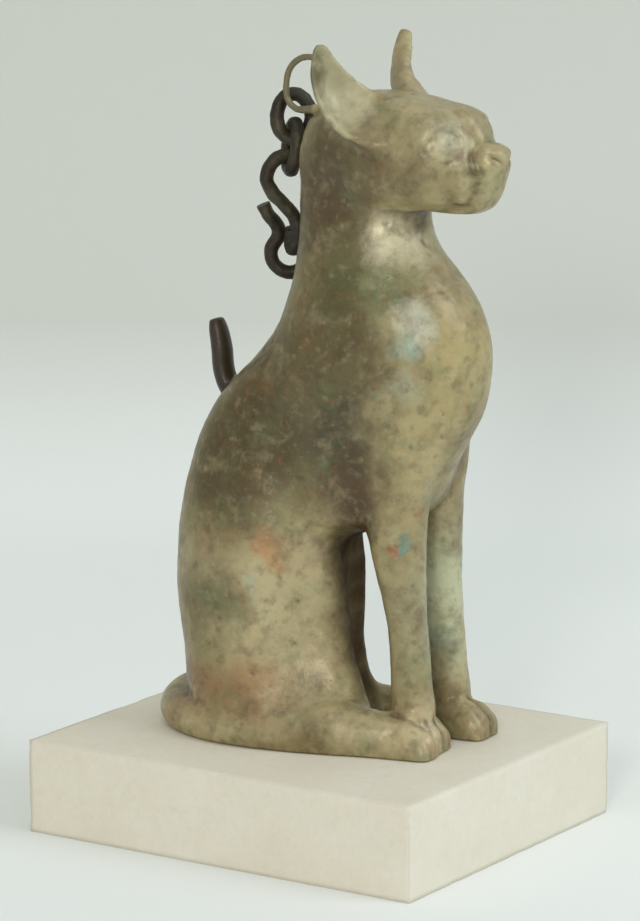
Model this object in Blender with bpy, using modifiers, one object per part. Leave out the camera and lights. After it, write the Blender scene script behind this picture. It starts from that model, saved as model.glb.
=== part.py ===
"""A small bronze seated cat on its stone plinth, with a short chain hung from the loop on its head.

The origin is the centre of the plinth's underside. The cat looks along -Y, its left is +X, up is +Z.
"""
import math

import bmesh
import bpy
from mathutils import Matrix, Vector

# Driving sizes, in metres
PLINTH_LENGTH = 0.095
PLINTH_WIDTH = 0.080
PLINTH_HEIGHT = 0.020
PLINTH_ARRIS = 0.0008
CAT_HEIGHT = 0.1507
CAT_LEFT_OF_CENTRE = 0.003
CAT_TURN = math.radians(6.0)
SEAT_GAP = 0.0003
WIRE_DIAMETER = 0.0027
RING_LENGTH = 0.01246
RING_WIDTH = 0.0099
HOOK_LENGTH = 0.02056
CURL_LENGTH = 0.0126
LINK_CLEARANCE = 0.0003
LINK_SLACK = 0.0007

# The cat is one casting. Its shape is written in parts of its own height, this many from base to ear tip.
HEIGHT_IN_FIGURES = 150.7
FIGURE = CAT_HEIGHT / HEIGHT_IN_FIGURES
HEAD_TURN = math.radians(-6.0)
NECK_FORWARD = 9.0
RING_POINTS = 40
TRUNK_GRAIN = 1.0
TRUNK_RUBBING = 40
WAX_GRAIN = 0.5
BODY_RUBBING = 40
DETAIL_RUBBING = 8
CAT_TRIANGLE_SHARE = 0.023
CHAIN_HANG = (-8.1, 0.65, 134.85)

# The chain's broad side is turned this far, and its bent wires are drawn across, up and out of it
CHAIN_FACE = math.radians(56)
LINK_POINTS = 18
HOOK_DEPTH = 0.97
HOOK_SHAPE = ((0.17, -0.04, -0.024), (0.06, 0.0, -0.014), (-0.08, 0.0, 0.009), (-0.20, -0.09, 0.024),
              (-0.24, -0.24, 0.024), (-0.17, -0.38, 0.014), (-0.06, -0.50, 0.0), (0.04, -0.62, 0.0),
              (0.08, -0.76, 0.0), (0.07, -0.90, -0.014), (0.04, -HOOK_DEPTH, -0.066),
              (0.02, -0.93, -0.127), (0.03, -0.80, -0.150))
CURL_SHAPE = ((-0.44, 0.50, 0.12), (-0.35, 0.32, 0.10), (-0.20, 0.12, 0.03), (-0.19, -0.06, 0.0),
              (-0.30, -0.26, 0.0), (-0.29, -0.46, 0.0), (-0.15, -0.62, 0.0), (0.05, -0.67, 0.0),
              (0.24, -0.57, -0.02), (0.31, -0.36, -0.05), (0.26, -0.14, -0.07), (0.12, 0.0, -0.09),
              (-0.02, -0.04, -0.22))

PARTS_NAME = "cat_sculpture"


def clear_scene():
    for item in list(bpy.data.objects):
        bpy.data.objects.remove(item, do_unlink=True)


def new_collection(name):
    group = bpy.data.collections.new(name)
    bpy.context.scene.collection.children.link(group)
    return group


def material(name, colour, roughness, metallic):
    made = bpy.data.materials.new(name)
    made.use_nodes = True
    shader = made.node_tree.nodes["Principled BSDF"]
    shader.inputs["Base Color"].default_value = (*colour, 1.0)
    shader.inputs["Roughness"].default_value = roughness
    shader.inputs["Metallic"].default_value = metallic
    return made


def at(forward, left, up):
    """A place on the cat, from the middle of its base, in the cat's own figures."""
    return Vector((left, -forward, up))


def on_head(point):
    """Turn a point of the head about the neck's upright axis."""
    pivot = at(NECK_FORWARD, 0, 0)
    return pivot + Matrix.Rotation(HEAD_TURN, 3, "Z") @ (point - pivot)


def oval(square):
    """Points round a unit oval, from a plain ellipse at 2 to a rounded box at higher values."""
    for step in range(RING_POINTS):
        angle = 2 * math.pi * step / RING_POINTS
        across, along = math.cos(angle), math.sin(angle)
        yield (math.copysign(abs(across) ** (2 / square), across),
               math.copysign(abs(along) ** (2 / square), along))


def level_ring(up, back, front, half, side=0.0, square=2.2):
    """A level section: how far it reaches back and forward, and its half width."""
    middle = (front + back) / 2
    reach = (front - back) / 2
    return [at(middle + reach * v, side + half * u, up) for u, v in oval(square)]


def upright_ring(forward, low, high, half, side=0.0, square=2.2):
    """An upright section across the cat: its lowest and highest points, and its half width."""
    middle = (high + low) / 2
    reach = (high - low) / 2
    return [at(forward, side + half * u, middle + reach * v) for u, v in oval(square)]


def loft(body, rings):
    """Skin a closed shell over sections that have the same number of points."""
    rows = [[body.verts.new(point) for point in ring] for ring in rings]
    for lower, upper in zip(rows, rows[1:]):
        for index in range(len(lower)):
            after = (index + 1) % len(lower)
            body.faces.new((lower[index], lower[after], upper[after], upper[index]))
    body.faces.new(rows[0])
    body.faces.new(rows[-1])


def smooth_path(points, steps=6):
    """A Catmull-Rom curve through points given as (place, radius)."""
    places = [place for place, _ in points]
    radii = [radius for _, radius in points]
    ends = [2 * places[0] - places[1]] + places + [2 * places[-1] - places[-2]]
    path = []
    for index in range(len(places) - 1):
        a, b, c, d = ends[index:index + 4]
        for step in range(steps):
            t = step / steps
            place = (b * 2 + (c - a) * t + (a * 2 - b * 5 + c * 4 - d) * t * t
                     + (b * 3 - a - c * 3 + d) * t ** 3) / 2
            path.append((place, radii[index] * (1 - t) + radii[index + 1] * t))
    path.append((places[-1], radii[-1]))
    return path


def rod(body, points, flat=1.0, flat_side=Vector((1, 0, 0)), sides=20):
    """A round or flattened rod along a smooth path, thinner along flat_side when flat is under 1."""
    path = smooth_path(points)
    rings = []
    for index, (place, radius) in enumerate(path):
        before = path[max(index - 1, 0)][0]
        after = path[min(index + 1, len(path) - 1)][0]
        ahead = (after - before).normalized()
        thin = (flat_side - ahead * flat_side.dot(ahead)).normalized()
        wide = ahead.cross(thin)
        rings.append([place + thin * math.cos(2 * math.pi * k / sides) * radius * flat
                      + wide * math.sin(2 * math.pi * k / sides) * radius for k in range(sides)])
    loft(body, rings)


def haunches(body):
    """The belly and the hind quarters, down to the seat."""
    loft(body, [
        level_ring(-3.0, -30.0, -2.0, 19.5),
        level_ring(6.0, -30.5, 1.0, 20.0),
        level_ring(14.0, -30.8, 2.6, 20.2),
        level_ring(22.0, -32.0, 3.8, 20.2),
        level_ring(30.0, -33.4, 4.4, 20.0),
        level_ring(38.0, -33.4, 4.8, 19.6),
        level_ring(45.0, -32.7, 4.8, 19.2),
        level_ring(52.0, -31.6, 5.0, 18.2),
        level_ring(59.0, -30.0, 5.0, 17.0),
        level_ring(65.0, -27.6, 4.6, 16.0),
        level_ring(71.0, -24.2, 4.0, 15.0),
        level_ring(77.0, -18.6, 3.0, 13.6),
        level_ring(83.0, -12.0, 2.0, 11.0),
    ])


def chest(body):
    """The upright fore part, from between the forelegs to the neck."""
    loft(body, [
        level_ring(43.0, -12.0, 8.0, 11.0),
        level_ring(46.0, -15.0, 15.0, 12.6),
        level_ring(48.5, -17.0, 23.5, 13.6),
        level_ring(53.0, -20.0, 27.0, 14.2),
        level_ring(60.0, -23.0, 29.6, 15.0),
        level_ring(65.0, -24.6, 32.2, 15.8),
        level_ring(70.0, -24.0, 35.1, 16.4),
        level_ring(75.0, -20.8, 36.5, 16.6),
        level_ring(80.0, -15.8, 36.9, 16.3),
        level_ring(85.0, -11.6, 36.8, 16.0),
        level_ring(90.0, -9.2, 35.5, 15.4),
        level_ring(95.0, -7.6, 32.8, 14.4),
        level_ring(100.0, -6.4, 28.9, 13.0),
        level_ring(105.0, -5.8, 24.2, 11.8),
        level_ring(110.0, -5.6, 22.8, 11.0),
        level_ring(116.0, -5.8, 22.5, 10.6),
        level_ring(124.0, -5.4, 20.0, 10.0),
        level_ring(129.0, -3.6, 16.0, 9.0),
    ])


def thigh(body, side, knee):
    """The folded hind leg, from the hip down to the knee, whose front is given from the ground up."""
    loft(body, [
        level_ring(-3.0, -26.0, knee[0], 7.6, side * 11.0),
        level_ring(5.0, -26.0, knee[0], 7.8, side * 10.5),
        level_ring(11.0, -26.0, knee[1], 7.8, side * 9.0),
        level_ring(18.0, -27.0, knee[2], 7.8, side * 7.6),
        level_ring(26.0, -28.0, knee[3], 7.8, side * 7.0),
        level_ring(35.0, -28.0, knee[4], 7.8, side * 6.8),
        level_ring(44.0, -27.0, knee[5], 7.6, side * 6.6),
        level_ring(53.0, -25.0, knee[6], 7.0, side * 7.2),
        level_ring(61.0, -21.0, knee[7], 5.8, side * 8.4),
        level_ring(67.0, -16.0, knee[7] - 5.0, 4.0, side * 9.0),
    ])


def hind_foot(body, side, toe, instep):
    """The long hind foot, flat on the ground beside the forepaw, as high as its instep."""
    loft(body, [
        upright_ring(-8.0, -6.0, instep - 0.6, 5.4, side * 17.2),
        upright_ring(2.0, -6.0, instep - 0.2, 5.6, side * 16.4),
        upright_ring(10.0, -6.0, instep, 5.4, side * 15.0),
        upright_ring(16.0, -6.0, instep - 0.2, 5.0, side * 13.8),
        upright_ring(22.0, -6.0, instep * 0.83, 4.7, side * 13.0),
        upright_ring(26.0, -6.0, instep * 0.68, 4.4, side * 12.8),
        upright_ring(toe - 1.2, -5.0, instep * 0.52, 3.9, side * 12.8),
        upright_ring(toe, -3.0, instep * 0.35, 2.8, side * 12.8),
    ])


def tail(body):
    """The tail, laid from behind round the cat's right side up to its hind foot."""
    rod(body, [
        (at(-27.0, 12.0, 4.6), 4.4),
        (at(-31.6, 6.0, 4.2), 4.6),
        (at(-33.6, -1.0, 3.6), 4.6),
        (at(-31.6, -8.4, 3.0), 4.4),
        (at(-26.6, -14.4, 2.8), 4.2),
        (at(-19.4, -18.2, 2.6), 4.0),
        (at(-10.0, -19.8, 2.4), 3.8),
        (at(0.0, -18.8, 2.2), 3.5),
        (at(9.0, -16.2, 2.0), 3.0),
        (at(16.0, -14.4, 1.8), 2.4),
    ])


def foreleg(body, side, shift, calf):
    """Shoulder and straight foreleg, the leg deeper behind by its calf."""
    def across(value):
        return side * value + shift

    loft(body, [
        level_ring(-3.0, 19.2 - calf, 28.4, 4.6, across(8.4)),
        level_ring(9.0, 19.2 - calf, 28.6, 4.5, across(8.4)),
        level_ring(14.0, 19.0 - calf, 27.8, 4.3, across(8.4)),
        level_ring(20.0, 18.8 - calf, 27.2, 4.2, across(8.4)),
        level_ring(27.0, 18.0 - calf, 26.6, 4.3, across(8.4)),
        level_ring(34.0, 16.4 - calf, 26.2, 4.7, across(8.4)),
        level_ring(41.0, 14.4, 26.2, 5.2, across(8.4)),
        level_ring(48.0, 12.4, 26.2, 5.6, across(8.2)),
        level_ring(56.0, 8.6, 27.2, 6.6, across(7.8)),
        level_ring(66.0, 4.0, 28.4, 7.6, across(7.6)),
        level_ring(77.0, 1.0, 28.6, 8.6, across(7.4)),
        level_ring(88.0, 2.0, 27.0, 8.4, across(6.4)),
        level_ring(96.0, 5.0, 22.0, 6.6, across(5.4)),
    ])


def paw(body, side, shift, paw_reach):
    """A forepaw, flat on the ground."""
    def across(value):
        return side * value + shift

    loft(body, [
        upright_ring(18.0, -4.0, 5.0, 3.6, across(8.4)),
        upright_ring(22.0, -5.0, 8.6, 4.6, across(8.2)),
        upright_ring(27.0, -5.0, 8.4, 5.2, across(8.0)),
        upright_ring(paw_reach - 3.0, -5.0, 6.8, 5.4, across(8.0), 2.6),
        upright_ring(paw_reach - 0.8, -4.0, 5.0, 4.9, across(8.0), 2.6),
        upright_ring(paw_reach, -2.0, 3.4, 3.6, across(8.0), 2.6),
    ])


def skull(body):
    """Skull and cheeks."""
    rings = [
        upright_ring(-4.6, 116.0, 127.0, 5.0),
        upright_ring(-2.6, 113.0, 131.5, 8.2),
        upright_ring(1.0, 111.0, 134.6, 9.8),
        upright_ring(7.0, 110.5, 136.6, 11.4, square=2.4),
        upright_ring(14.0, 111.5, 137.2, 12.6, square=2.6),
        upright_ring(21.0, 112.8, 136.6, 13.2, square=2.8),
        upright_ring(26.0, 113.4, 135.4, 13.2, square=3.0),
        upright_ring(30.0, 113.8, 134.9, 12.8, square=3.2),
        upright_ring(32.6, 114.4, 133.6, 11.2, square=3.2),
        upright_ring(34.0, 115.4, 131.6, 9.2, square=2.8),
        upright_ring(34.8, 117.5, 128.6, 6.0, square=2.4),
    ]
    loft(body, [[on_head(point) for point in ring] for ring in rings])


def muzzle(body):
    """The short muzzle, that stands out as a block."""
    rings = [
        level_ring(113.3, 24.0, 36.6, 4.4, square=2.8),
        level_ring(114.6, 24.0, 39.0, 5.0, square=2.8),
        level_ring(117.5, 24.0, 40.8, 5.3, square=2.8),
        level_ring(120.5, 24.0, 41.8, 5.4, square=2.8),
        level_ring(122.8, 24.0, 42.5, 5.2, square=2.8),
        level_ring(125.2, 24.0, 42.9, 4.6, square=2.8),
        level_ring(127.0, 24.0, 42.2, 3.9, square=2.6),
        level_ring(127.9, 24.0, 40.6, 3.0, square=2.6),
    ]
    loft(body, [[on_head(point) for point in ring] for ring in rings])


def cheek(body, side):
    """The full cheek beside the muzzle."""
    rod(body, [
        (on_head(at(32.4, side * 6.6, 126.6)), 2.6),
        (on_head(at(34.8, side * 5.6, 123.4)), 3.0),
        (on_head(at(35.2, side * 5.2, 119.6)), 3.0),
        (on_head(at(33.8, side * 4.8, 116.4)), 2.4),
    ])


def eye(body, side):
    """The bulge of the eye, worn smooth."""
    rod(body, [
        (on_head(at(29.0, side * 10.6, 127.6)), 2.3),
        (on_head(at(30.6, side * 8.6, 127.9)), 3.1),
        (on_head(at(31.2, side * 6.6, 128.1)), 2.9),
        (on_head(at(31.4, side * 5.2, 128.1)), 2.0),
    ])


def bend(points, t):
    """A smooth curve from the first point to the last, drawn towards those between."""
    while len(points) > 1:
        points = [a.lerp(b, t) for a, b in zip(points, points[1:])]
    return points[0]


def ear(body, side, ahead, lean, lift, thick):
    """A thick scooped ear, open outwards and forwards, its tip leant back and raised."""
    def place(forward, left, up):
        tipward = max(up - 136.0, 0.0) / 12.6
        return at(forward + ahead - lean * tipward, side * left, up + lift * tipward)

    inner_edge = [place(19.0, 3.0, 136.0), place(12.0, 9.0, 139.0), place(11.0, 14.0, 143.0),
                  place(9.4, 16.2, 148.6)]
    outer_rim = [place(26.6, 12.6, 128.5), place(13.8, 18.6, 125.5), place(5.2, 18.6, 137.0),
                 place(8.0, 17.2, 148.4)]
    hollow = [place(18.6, 7.0, 128.0), place(7.6, 8.0, 131.0), place(3.6, 13.4, 141.0),
              place(8.0, 16.6, 148.4)]

    def scoop(v, u):
        """A point of the ear's hollow face, v from its root to its tip and u from inner edge to rim."""
        return bend([bend(line, v) for line in (inner_edge, hollow, outer_rim)], u)

    lengthwise, crosswise, step = 12, 10, 0.01
    rings = []
    for row in range(lengthwise + 1):
        v = row / lengthwise
        face, behind = [], []
        for column in range(crosswise + 1):
            u = column / crosswise
            point = scoop(v, u)
            low_v, low_u = min(v, 1 - step), min(u, 1 - step)
            lengthways = scoop(low_v + step, low_u) - scoop(low_v, low_u)
            crossways = scoop(low_v, low_u + step) - scoop(low_v, low_u)
            outward = lengthways.cross(crossways).normalized() * -side
            thickness = (3.6 - 2.1 * v) * thick * (0.45 + 0.55 * math.sin(math.pi * u))
            face.append(point)
            behind.append(point - outward * thickness)
        rings.append([on_head(point) for point in face + behind[::-1]])
    loft(body, rings)


def ear_root(body, side, ahead):
    """The flesh that fills the crease between the ear's hollow and the skull."""
    rod(body, [
        (on_head(at(12.6 + ahead, side * 6.6, 135.4)), 2.6),
        (on_head(at(12.4 + ahead, side * 9.2, 133.0)), 3.6),
        (on_head(at(15.6 + ahead, side * 11.0, 129.8)), 3.5),
        (on_head(at(20.0 + ahead, side * 11.7, 127.6)), 3.0),
        (on_head(at(24.0 + ahead, side * 11.4, 127.2)), 2.2),
    ])


def ear_front(body):
    """The fuller foot of the left ear's front edge."""
    rod(body, [
        (on_head(at(13.2, 11.4, 138.8)), 1.8),
        (on_head(at(15.4, 9.8, 136.0)), 2.5),
        (on_head(at(18.6, 8.0, 134.4)), 2.3),
        (on_head(at(22.4, 6.8, 133.2)), 1.8),
    ])


def head_loop(body):
    """The thin loop that stands behind the crown, from which the chain hangs."""
    rod(body, [
        (at(2.6, 0.0, 132.6), 1.5),
        (at(0.2, 0.0, 139.4), 1.0),
        (at(-2.8, 0.0, 142.6), 0.8),
        (at(-6.2, 0.0, 142.8), 0.8),
        (at(-9.0, 0.0, 140.6), 0.8),
        (at(-10.0, 0.0, 137.2), 0.8),
        (at(-9.6, 0.0, 133.8), 0.8),
        (at(-7.6, 0.0, 132.0), 0.8),
        (at(-4.8, 0.0, 132.0), 1.0),
        (at(-0.8, 0.0, 132.4), 1.4),
    ])


def back_stub(body):
    """The flat strap on the back, broken off short."""
    rod(body, [
        (at(-20.2, 0.0, 68.0), 2.7),
        (at(-23.9, 0.0, 71.6), 2.8),
        (at(-25.6, 0.0, 75.6), 2.8),
        (at(-26.0, 0.0, 80.0), 2.8),
        (at(-26.8, 0.0, 84.0), 2.5),
        (at(-27.3, 0.0, 86.4), 2.0),
    ], flat=0.8, flat_side=Vector((0, 1, 0)))


def wax(name, shapes, earlier=None):
    """One mesh of closed shells, with an earlier mesh laid in."""
    body = bmesh.new()
    for shape, arguments in shapes:
        shape(body, *arguments)
    bmesh.ops.scale(body, vec=Vector((FIGURE, FIGURE, FIGURE)), verts=body.verts)
    bmesh.ops.recalc_face_normals(body, faces=body.faces)
    if earlier:
        body.from_mesh(earlier)
    mesh = bpy.data.meshes.new(name)
    body.to_mesh(mesh)
    body.free()
    return mesh


def melt(thing, grain, rubbing):
    """Run the shells of an object together, and rub the joins soft."""
    run = thing.modifiers.new("run", "REMESH")
    run.mode = "VOXEL"
    run.voxel_size = grain * FIGURE
    rub = thing.modifiers.new("rub", "SMOOTH")
    rub.factor = 0.5
    rub.iterations = rubbing


def settle(parts, mesh, grain, rubbing):
    """The mesh that comes of melting and rubbing."""
    lump = bpy.data.objects.new(mesh.name, mesh)
    parts.objects.link(lump)
    melt(lump, grain, rubbing)
    settled = bpy.data.meshes.new_from_object(lump.evaluated_get(bpy.context.evaluated_depsgraph_get()))
    bpy.data.objects.remove(lump)
    return settled


def make_torso(parts):
    """The body and the skull, without the finer parts of the head and the paws."""
    trunk = settle(parts, wax("trunk", [(haunches, ()), (chest, ())]), TRUNK_GRAIN, TRUNK_RUBBING)
    mesh = wax("torso", [
        (skull, ()),
        (thigh, (-1, (16.4, 13.0, 9.4, 8.2, 7.0, 5.2, 3.4, 1.0))),
        (thigh, (1, (7.0, 4.6, 4.0, 4.6, 5.0, 3.6, 2.2, 0.0))),
        (hind_foot, (-1, 31.4, 9.6)),
        (hind_foot, (1, 30.4, 6.4)),
        (tail, ()),
        (foreleg, (-1, 0.8, 0.0)),
        (foreleg, (1, 1.5, 1.4)),
    ], trunk)
    return settle(parts, mesh, WAX_GRAIN, BODY_RUBBING)


def make_cat(parts, cutters):
    mesh = wax("cat", [
        (paw, (-1, 0.8, 30.8)),
        (paw, (1, 0.8, 34.2)),
        (muzzle, ()),
        (cheek, (-1,)),
        (cheek, (1,)),
        (eye, (-1,)),
        (eye, (1,)),
        (ear, (-1, 0.0, 0.0, -1.2, 1.0)),
        (ear, (1, 1.5, 1.1, -0.9, 1.4)),
        (ear_root, (-1, 0.0)),
        (ear_root, (1, 1.5)),
        (ear_front, ()),
        (head_loop, ()),
        (back_stub, ()),
    ], make_torso(parts))
    cat = bpy.data.objects.new("cat", mesh)
    cat.location = (CAT_LEFT_OF_CENTRE, 0, PLINTH_HEIGHT + SEAT_GAP)
    cat.rotation_euler = (0, 0, CAT_TURN)
    parts.objects.link(cat)
    cat.data.materials.append(material("patinated_bronze", (0.24, 0.20, 0.12), 0.55, 0.6))
    melt(cat, WAX_GRAIN, DETAIL_RUBBING)
    lighten = cat.modifiers.new("lighten", "DECIMATE")
    lighten.ratio = CAT_TRIANGLE_SHARE
    seat = cat.modifiers.new("seat", "BOOLEAN")
    seat.operation = "DIFFERENCE"
    seat.solver = "EXACT"
    seat.object = make_seat_cutter(cutters)
    return cat


def make_seat_cutter(cutters):
    """A block under the cat that leaves its feet and seat flat."""
    bpy.ops.mesh.primitive_cube_add(size=1)
    block = bpy.context.object
    block.name = "seat_cutter"
    depth = 0.1 * CAT_HEIGHT
    for vertex in block.data.vertices:
        vertex.co = Vector((vertex.co.x * CAT_HEIGHT, vertex.co.y * CAT_HEIGHT, vertex.co.z * depth))
    block.location = (CAT_LEFT_OF_CENTRE, 0, PLINTH_HEIGHT + SEAT_GAP - depth / 2)
    block.hide_render = True
    block.display_type = "WIRE"
    for group in list(block.users_collection):
        group.objects.unlink(block)
    cutters.objects.link(block)
    return block


def make_plinth(parts):
    bpy.ops.mesh.primitive_cube_add(size=1)
    slab = bpy.context.object
    slab.name = "plinth"
    slab.data.name = "plinth"
    size = Vector((PLINTH_WIDTH, PLINTH_LENGTH, PLINTH_HEIGHT))
    for vertex in slab.data.vertices:
        vertex.co = vertex.co * size
    slab.location = (0, 0, PLINTH_HEIGHT / 2)
    for group in list(slab.users_collection):
        group.objects.unlink(slab)
    parts.objects.link(slab)
    slab.data.materials.append(material("pale_limestone", (0.72, 0.69, 0.60), 0.7, 0.0))
    arris = slab.modifiers.new("arris", "BEVEL")
    arris.width = PLINTH_ARRIS
    arris.segments = 2
    return slab


def closed_link(width, length):
    """Points round a closed oval link, across and up from its middle."""
    for step in range(LINK_POINTS):
        angle = 2 * math.pi * step / LINK_POINTS
        yield (math.cos(angle) * (width - WIRE_DIAMETER) / 2,
               math.sin(angle) * (length - WIRE_DIAMETER) / 2, 0.0)


def make_link(parts, index, points, closed, place, finish):
    """One link of round wire along points given as across, up and out, carried to the chain by place."""
    curve = bpy.data.curves.new("chain_link_%d" % index, "CURVE")
    curve.dimensions = "3D"
    curve.bevel_depth = WIRE_DIAMETER / 2
    curve.bevel_resolution = 2
    curve.use_fill_caps = True
    line = curve.splines.new("POLY")
    points = [place @ Vector(point) for point in points]
    line.points.add(len(points) - 1)
    for knot, point in zip(line.points, points):
        knot.co = (*point, 1)
    line.use_cyclic_u = closed
    link = bpy.data.objects.new("chain_link_%d" % index, curve)
    parts.objects.link(link)
    link.data.materials.append(finish)
    return link


def make_chain(parts, cat):
    """Two rings, an S hook and a curled end, hung one in another from the loop on the head."""
    finish = material("dark_bronze_chain", (0.045, 0.03, 0.02), 0.6, 0.5)
    placed = Matrix.Translation(cat.location) @ Matrix.Rotation(CAT_TURN, 4, "Z")
    hang = Matrix.Translation(placed @ (at(*CHAIN_HANG) * FIGURE)) @ Matrix.Rotation(-CHAIN_FACE, 4, "Z")

    def facing(turn, across, up, back, lean=0.0):
        """A link's frame, shifted by shares of a ring's length, turned about the upright and leant back."""
        shift = Matrix.Translation((across * RING_LENGTH, back * RING_LENGTH, up))
        return (hang @ shift @ Matrix.Rotation(CHAIN_FACE - math.radians(turn), 4, "Z")
                @ Matrix.Rotation(math.pi / 2 - math.radians(lean), 4, "X"))

    def bent(shape, length):
        """A bent wire's centre line, from a shape given in shares of its length."""
        line = smooth_path([(Vector(point) * length, 0) for point in shape], 3)
        return [place for place, _ in line]

    ring_reach = RING_LENGTH - WIRE_DIAMETER
    spacing = WIRE_DIAMETER + LINK_CLEARANCE + LINK_SLACK
    second_top = spacing - ring_reach
    hook_top = second_top - ring_reach + WIRE_DIAMETER + LINK_CLEARANCE
    curl_top = hook_top - HOOK_DEPTH * HOOK_LENGTH + WIRE_DIAMETER + LINK_CLEARANCE
    ring = list(closed_link(RING_WIDTH, RING_LENGTH))
    make_link(parts, 1, ring, True, facing(48.6, -0.030, -ring_reach / 2, 0.144, 13.8), finish)
    make_link(parts, 2, ring, True, facing(132.2, -0.055, second_top - ring_reach / 2, 0.050, 6.5), finish)
    hook = bent(HOOK_SHAPE, HOOK_LENGTH)
    make_link(parts, 3, hook, False, facing(51.5, -0.100, hook_top, 0.032), finish)
    curl = bent(CURL_SHAPE, CURL_LENGTH)
    make_link(parts, 4, curl, False, facing(54.3, -0.1075, curl_top, 0.421), finish)


def main():
    clear_scene()
    parts = new_collection(PARTS_NAME)
    cutters = new_collection("cutters")
    make_plinth(parts)
    cat = make_cat(parts, cutters)
    make_chain(parts, cat)


main()
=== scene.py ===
"""Looks for a small patinated bronze cat on its pale stone plinth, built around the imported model."""

import math

import bmesh
import bpy
import numpy as np
from mathutils import Matrix, Vector, noise


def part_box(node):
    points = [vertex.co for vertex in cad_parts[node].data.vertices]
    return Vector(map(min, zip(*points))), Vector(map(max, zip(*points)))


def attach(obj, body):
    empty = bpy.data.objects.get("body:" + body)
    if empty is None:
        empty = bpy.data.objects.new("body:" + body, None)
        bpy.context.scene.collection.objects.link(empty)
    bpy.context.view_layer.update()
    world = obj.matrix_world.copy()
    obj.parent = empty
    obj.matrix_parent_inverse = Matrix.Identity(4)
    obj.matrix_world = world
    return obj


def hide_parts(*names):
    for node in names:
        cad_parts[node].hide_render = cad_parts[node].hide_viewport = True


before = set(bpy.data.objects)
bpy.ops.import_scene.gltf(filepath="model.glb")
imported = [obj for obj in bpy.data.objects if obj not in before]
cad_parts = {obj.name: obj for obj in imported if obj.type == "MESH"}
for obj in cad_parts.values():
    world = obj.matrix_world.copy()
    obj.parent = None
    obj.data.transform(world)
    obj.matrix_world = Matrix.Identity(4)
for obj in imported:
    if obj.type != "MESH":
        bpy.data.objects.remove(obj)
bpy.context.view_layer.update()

MM = 0.001
PLINTH_LOW, PLINTH_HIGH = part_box("plinth")
SEAT_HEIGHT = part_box("cat")[0].z
CAT_LEFT_OF_CENTRE = 3.0
CAT_TURN = math.radians(6.0)
HEAD_TURN = math.radians(-6.0)
NECK_FORWARD = 9.0
RING_POINTS = 40
TRUNK_GRAIN, TRUNK_RUBBING = 1.0, 40
BODY_GRAIN, BODY_RUBBING = 0.5, 40
SKIN_GRAIN, SKIN_RUBBING = 0.45, 10
SKIN_TRIANGLES = 190000
ROD_SIDES = 20
HEAD_FROM = 111
PITS = 260
CREASE_ROUNDS, PAD_ROUNDS = 90, 30
FINE_ROUNDS, BROAD_ROUNDS = 12, 90
SLAB_GRAIN, EASED_EDGE, WORN_WIDTH, WORN_DEPTH = 1.1, 0.75, 1.8, 0.55
VIEW_FROM = (-0.7596, -0.4991, 0.2622)
VIEW_AZIMUTH, VIEW_ELEVATION = math.radians(-56.68), math.radians(11.41)
FILM_WIDTH = 36
VIEW_LENS = 4408 * FILM_WIDTH / 921


# The cat's form, in millimetres from the middle of its base

def at(forward, left, up):
    return Vector((left, -forward, up))


def on_head(point):
    """Turn a point of the head about the neck's upright axis."""
    pivot = at(NECK_FORWARD, 0, 0)
    return pivot + Matrix.Rotation(HEAD_TURN, 3, "Z") @ (point - pivot)


def oval(square):
    for step in range(RING_POINTS):
        angle = 2 * math.pi * step / RING_POINTS
        across, along = math.cos(angle), math.sin(angle)
        yield (math.copysign(abs(across) ** (2 / square), across),
               math.copysign(abs(along) ** (2 / square), along))


def level_ring(up, back, front, half, side=0.0, square=2.2):
    middle, reach = (front + back) / 2, (front - back) / 2
    return [at(middle + reach * v, side + half * u, up) for u, v in oval(square)]


def upright_ring(forward, low, high, half, side=0.0, square=2.2):
    middle, reach = (high + low) / 2, (high - low) / 2
    return [at(forward, side + half * u, middle + reach * v) for u, v in oval(square)]


def loft(body, rings):
    """Skin a closed shell over sections that have the same number of points."""
    rows = [[body.verts.new(point) for point in ring] for ring in rings]
    for lower, upper in zip(rows, rows[1:]):
        for index in range(len(lower)):
            after = (index + 1) % len(lower)
            body.faces.new((lower[index], lower[after], upper[after], upper[index]))
    body.faces.new(rows[0])
    body.faces.new(rows[-1])


def smooth_path(points, steps=6):
    """A Catmull-Rom curve through points given as (place, radius)."""
    places = [place for place, _ in points]
    radii = [radius for _, radius in points]
    ends = [2 * places[0] - places[1]] + places + [2 * places[-1] - places[-2]]
    path = []
    for index in range(len(places) - 1):
        a, b, c, d = ends[index:index + 4]
        for step in range(steps):
            t = step / steps
            place = (b * 2 + (c - a) * t + (a * 2 - b * 5 + c * 4 - d) * t * t
                     + (b * 3 - a - c * 3 + d) * t ** 3) / 2
            path.append((place, radii[index] * (1 - t) + radii[index + 1] * t))
    path.append((places[-1], radii[-1]))
    return path


def rod(body, points, flat=1.0, flat_side=Vector((1, 0, 0))):
    """A round or flattened rod along a smooth path, thinner along flat_side when flat is under 1."""
    path = smooth_path(points)
    rings = []
    for index, (place, radius) in enumerate(path):
        before = path[max(index - 1, 0)][0]
        after = path[min(index + 1, len(path) - 1)][0]
        ahead = (after - before).normalized()
        thin = (flat_side - ahead * flat_side.dot(ahead)).normalized()
        wide = ahead.cross(thin)
        turns = [2 * math.pi * k / ROD_SIDES for k in range(ROD_SIDES)]
        rings.append([place + thin * math.cos(turn) * radius * flat + wide * math.sin(turn) * radius
                      for turn in turns])
    loft(body, rings)


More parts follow.
